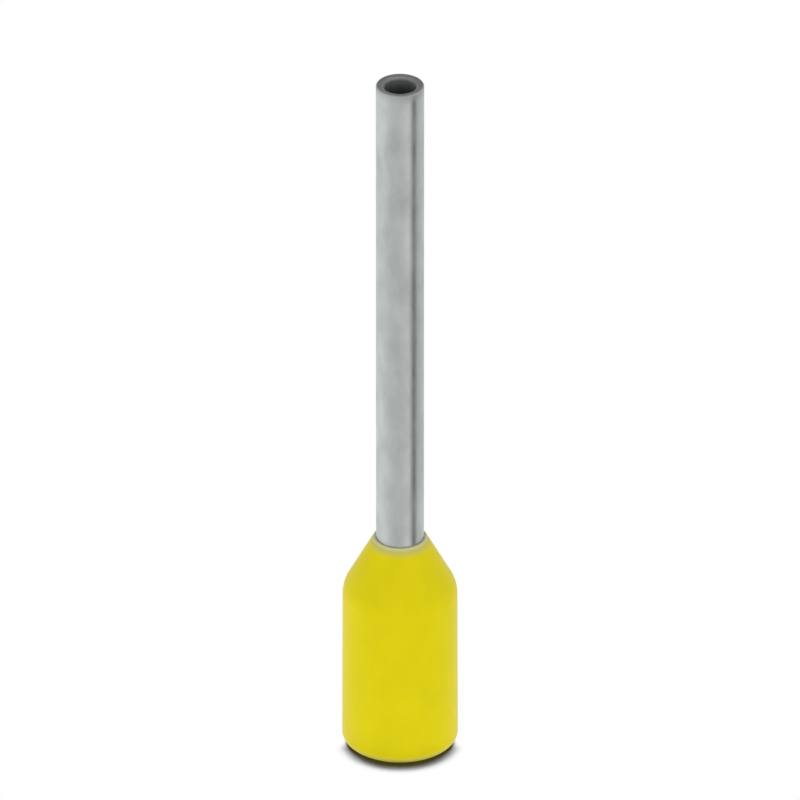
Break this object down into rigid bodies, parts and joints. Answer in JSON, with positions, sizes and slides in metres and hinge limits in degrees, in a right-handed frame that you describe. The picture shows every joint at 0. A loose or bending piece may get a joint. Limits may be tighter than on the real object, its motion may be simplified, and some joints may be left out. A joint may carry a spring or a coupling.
{
  "type": "wire ferrule",
  "caption": "Insulated wire ferrule: a slim tinned tube with a flared mouth, gripped by a yellow moulded collar that tapers to the tube.",
  "frame": {"origin": "centre of the collar's mouth, in the plane that it stands on", "axes": "+Z along the axis, from the collar's mouth to the tube's tip; the part is turned about it, so X and Y are free"},
  "size_m": [0.0022, 0.0022, 0.0145],
  "materials": {
    "tinned_copper": "satin matt tin plating",
    "yellow_plastic": "satin moulded"
  },
  "bodies": {
    "root": {"tube": "tinned_copper", "collar": "yellow_plastic"}
  },
  "joints": []
}
